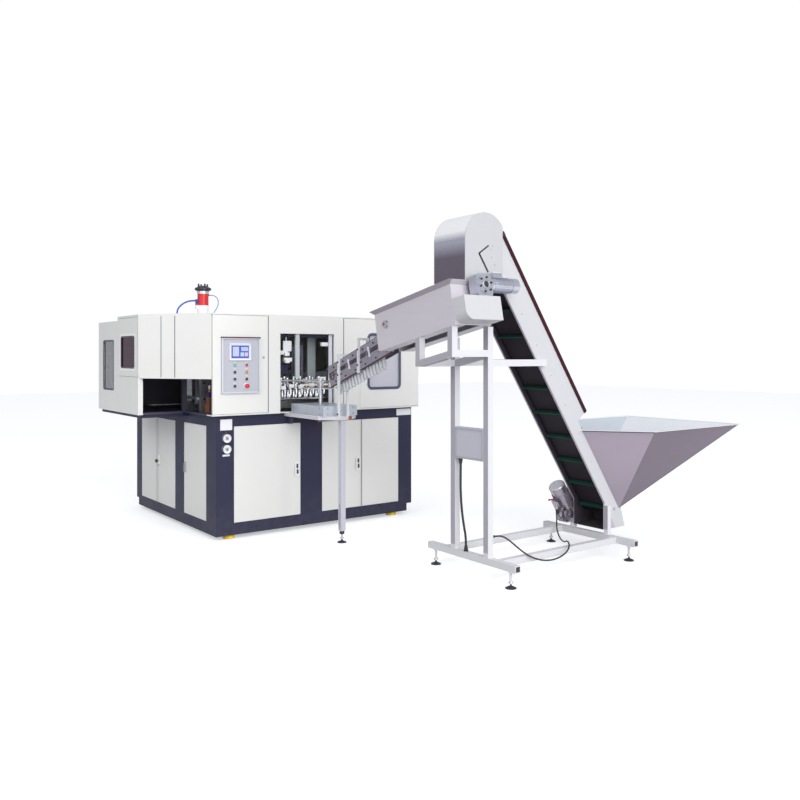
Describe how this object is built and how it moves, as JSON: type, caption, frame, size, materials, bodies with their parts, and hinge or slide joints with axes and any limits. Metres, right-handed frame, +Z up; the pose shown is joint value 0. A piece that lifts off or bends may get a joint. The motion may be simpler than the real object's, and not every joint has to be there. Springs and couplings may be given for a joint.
{
  "type": "bottle blow moulding machine with preform feeding line",
  "caption": "Rotary-oven bottle blow moulding cabinet on a navy base, fed by a sloping chute from a roller trough and an inclined cleated elevator with hopper.",
  "frame": {"origin": "middle of the underside of the levelling pad at the near left corner of the base, on the floor", "axes": "+X along the machine's front to the right, +Y from the front to the back, +Z up"},
  "size_m": [4.136, 4.826, 2.664],
  "materials": {
    "navy_paint": "satin",
    "cream_paint": "satin",
    "yellow_rubber": "matte",
    "gauge_steel": "satin",
    "receiver_paint": "satin",
    "clear_pane": "clear",
    "maroon_pane": "tinted",
    "console_paint": "satin",
    "screen_plastic": "gloss",
    "green_plastic": "gloss",
    "red_plastic": "gloss",
    "black_plastic": "matte",
    "orange_plastic": "gloss",
    "machined_steel": "machined",
    "cylinder_paint": "gloss",
    "bright_chrome": "polished",
    "valve_brass": "satin",
    "chain_steel": "oiled",
    "sheet_aluminium": "satin",
    "stand_paint": "satin",
    "chute_steel": "brushed",
    "preform_plastic": "clear gloss",
    "trough_steel": "satin",
    "white_paint": "satin",
    "motor_aluminium": "cast",
    "belt_rubber": "matte",
    "hopper_steel": "brushed",
    "foot_steel": "matte",
    "cable_rubber": "matte",
    "blue_hose_plastic": "satin",
    "pale_hose_plastic": "satin"
  },
  "bodies": {
    "line": {"base_frame": "navy_paint", "base_fixed_panels": "cream_paint", "levelling_pads": "yellow_rubber", "pressure_gauges": "gauge_steel", "air_receiver": "receiver_paint", "cabinet_shell": "cream_paint", "hood_shell": "cream_paint", "hood_side_pane": "clear_pane", "clamp_frame": "machined_steel", "stretch_cylinder": "cylinder_paint", "valve_manifold": "valve_brass", "mandrel_chain": "chain_steel", "oven_housing": "sheet_aluminium", "infeed_table": "stand_paint", "infeed_chute": "chute_steel", "preforms": "preform_plastic", "trough": "trough_steel", "roller_drive_cover": "white_paint", "upper_gearmotor": "motor_aluminium", "elevator_frame": "stand_paint", "head_cover": "white_paint", "cleated_belt": "belt_rubber", "lower_gearmotor": "motor_aluminium", "hopper": "hopper_steel", "stand_frame": "stand_paint", "disc_feet": "foot_steel", "lower_motor_cable": "cable_rubber", "supply_cable": "cable_rubber", "blue_hose": "blue_hose_plastic", "thin_hose": "pale_hose_plastic"},
    "front_left_leaf": {"front_door_left": "cream_paint"},
    "front_middle_leaf": {"front_door_middle": "cream_paint"},
    "front_right_leaf": {"front_door_right": "cream_paint"},
    "side_near_leaf": {"side_door_near": "cream_paint"},
    "side_middle_leaf": {"side_door_middle": "cream_paint"},
    "side_far_leaf": {"side_door_far": "cream_paint"},
    "control_leaf": {"control_door": "cream_paint", "control_console": "console_paint", "touch_screen": "screen_plastic"},
    "green_cap": {"green_button": "green_plastic"},
    "red_cap": {"red_button": "red_plastic"},
    "black_cap_a": {"black_button_a": "black_plastic"},
    "black_cap_b": {"black_button_b": "black_plastic"},
    "black_cap_c": {"black_button_c": "black_plastic"},
    "black_cap_d": {"black_button_d": "black_plastic"},
    "stop_cap": {"emergency_stop": "red_plastic"},
    "selector_knob": {"orange_selector": "orange_plastic"},
    "window_leaf": {"window_door": "cream_paint", "window_door_pane": "clear_pane"},
    "hood_leaf": {"hood_door": "cream_paint", "hood_door_pane": "maroon_pane"},
    "drive_wheel": {"drive_sprocket": "chain_steel"},
    "idler_wheel": {"idler_sprocket": "chain_steel"},
    "clamp_slide": {"moving_platen": "machined_steel"},
    "rod": {"stretch_rod": "bright_chrome"},
    "star": {"star_wheel": "machined_steel"},
    "near_roller": {"roller_near": "chute_steel"},
    "far_roller": {"roller_far": "chute_steel"},
    "head_roll": {"head_drum": "machined_steel"},
    "tail_roll": {"tail_drum": "machined_steel"}
  },
  "joints": [
    {"name": "front_left_door_hinge", "type": "hinge", "parent": "line", "child": "front_left_leaf", "pos_m": [0.027, -0.064, 0.57], "axis": [0, 0, -1], "range_deg": [0, 110]},
    {"name": "front_middle_door_hinge", "type": "hinge", "parent": "line", "child": "front_middle_leaf", "pos_m": [0.937, -0.064, 0.57], "axis": [0, 0, -1], "range_deg": [0, 110]},
    {"name": "front_right_door_hinge", "type": "hinge", "parent": "line", "child": "front_right_leaf", "pos_m": [1.826, -0.064, 0.57], "axis": [0, 0, 1], "range_deg": [0, 110]},
    {"name": "side_near_door_hinge", "type": "hinge", "parent": "line", "child": "side_near_leaf", "pos_m": [-0.144, 0.153, 0.57], "axis": [0, 0, 1], "range_deg": [0, 110]},
    {"name": "side_middle_door_hinge", "type": "hinge", "parent": "line", "child": "side_middle_leaf", "pos_m": [-0.144, 0.891, 0.57], "axis": [0, 0, 1], "range_deg": [0, 110]},
    {"name": "side_far_door_hinge", "type": "hinge", "parent": "line", "child": "side_far_leaf", "pos_m": [-0.144, 1.815, 0.57], "axis": [0, 0, -1], "range_deg": [0, 110]},
    {"name": "control_door_hinge", "type": "hinge", "parent": "line", "child": "control_leaf", "pos_m": [-0.201, -0.124, 1.55], "axis": [0, 0, -1], "range_deg": [0, 100]},
    {"name": "window_door_hinge", "type": "hinge", "parent": "line", "child": "window_leaf", "pos_m": [2.041, -0.124, 1.55], "axis": [0, 0, 1], "range_deg": [0, 110]},
    {"name": "hood_door_hinge", "type": "hinge", "parent": "line", "child": "hood_leaf", "pos_m": [-0.624, 1.091, 1.7], "axis": [0, 0, -1], "range_deg": [0, 110]},
    {"name": "drive_sprocket_spin", "type": "hinge", "parent": "line", "child": "drive_wheel", "pos_m": [0.42, 0.79, 1.16], "axis": [0, 0, 1], "continuous": true},
    {"name": "idler_sprocket_spin", "type": "hinge", "parent": "line", "child": "idler_wheel", "pos_m": [1.52213, 0.79, 1.16], "axis": [0, 0, 1], "continuous": true},
    {"name": "mould_closing", "type": "slide", "parent": "line", "child": "clamp_slide", "axis": [0, 1, 0], "range_m": [0, 0.11]},
    {"name": "stretch_stroke", "type": "slide", "parent": "line", "child": "rod", "axis": [0, 0, -1], "range_m": [0, 0.25]},
    {"name": "star_wheel_spin", "type": "hinge", "parent": "line", "child": "star", "pos_m": [0.717, -0.39, 1.33], "axis": [0, 0, 1], "continuous": true},
    {"name": "near_roller_spin", "type": "hinge", "parent": "line", "child": "near_roller", "pos_m": [0.673, -1.54096, 1.72282], "axis": [0, 0.981, -0.1942], "continuous": true},
    {"name": "far_roller_spin", "type": "hinge", "parent": "line", "child": "far_roller", "pos_m": [0.761, -1.54096, 1.72282], "axis": [0, 0.981, -0.1942], "continuous": true},
    {"name": "head_drum_spin", "type": "hinge", "parent": "line", "child": "head_roll", "pos_m": [0.932, -2.23, 2.455], "axis": [0, 1, 0], "continuous": true},
    {"name": "tail_drum_spin", "type": "hinge", "parent": "line", "child": "tail_roll", "pos_m": [2.34676, -2.23, 0.35753], "axis": [0, 1, 0], "continuous": true},
    {"name": "green_button_press", "type": "slide", "parent": "control_leaf", "child": "green_cap", "axis": [0, 1, 0], "range_m": [0, 0.004], "stiffness_N_per_m": 300, "springref_m": -0.002},
    {"name": "red_button_press", "type": "slide", "parent": "control_leaf", "child": "red_cap", "axis": [0, 1, 0], "range_m": [0, 0.004], "stiffness_N_per_m": 300, "springref_m": -0.002},
    {"name": "black_button_a_press", "type": "slide", "parent": "control_leaf", "child": "black_cap_a", "axis": [0, 1, 0], "range_m": [0, 0.004], "stiffness_N_per_m": 300, "springref_m": -0.002},
    {"name": "black_button_b_press", "type": "slide", "parent": "control_leaf", "child": "black_cap_b", "axis": [0, 1, 0], "range_m": [0, 0.004], "stiffness_N_per_m": 300, "springref_m": -0.002},
    {"name": "black_button_c_press", "type": "slide", "parent": "control_leaf", "child": "black_cap_c", "axis": [0, 1, 0], "range_m": [0, 0.004], "stiffness_N_per_m": 300, "springref_m": -0.002},
    {"name": "black_button_d_press", "type": "slide", "parent": "control_leaf", "child": "black_cap_d", "axis": [0, 1, 0], "range_m": [0, 0.004], "stiffness_N_per_m": 300, "springref_m": -0.002},
    {"name": "emergency_stop_press", "type": "slide", "parent": "control_leaf", "child": "stop_cap", "axis": [0, 1, 0], "range_m": [0, 0.005]},
    {"name": "selector_turn", "type": "hinge", "parent": "control_leaf", "child": "selector_knob", "pos_m": [0.104, -0.15, 1.483], "axis": [0, -1, 0], "range_deg": [-45, 45]}
  ],
  "couplings": [
    {"joint": "idler_sprocket_spin", "follows": "drive_sprocket_spin", "ratio": 1},
    {"joint": "far_roller_spin", "follows": "near_roller_spin", "ratio": -1},
    {"joint": "tail_drum_spin", "follows": "head_drum_spin", "ratio": 1}
  ]
}
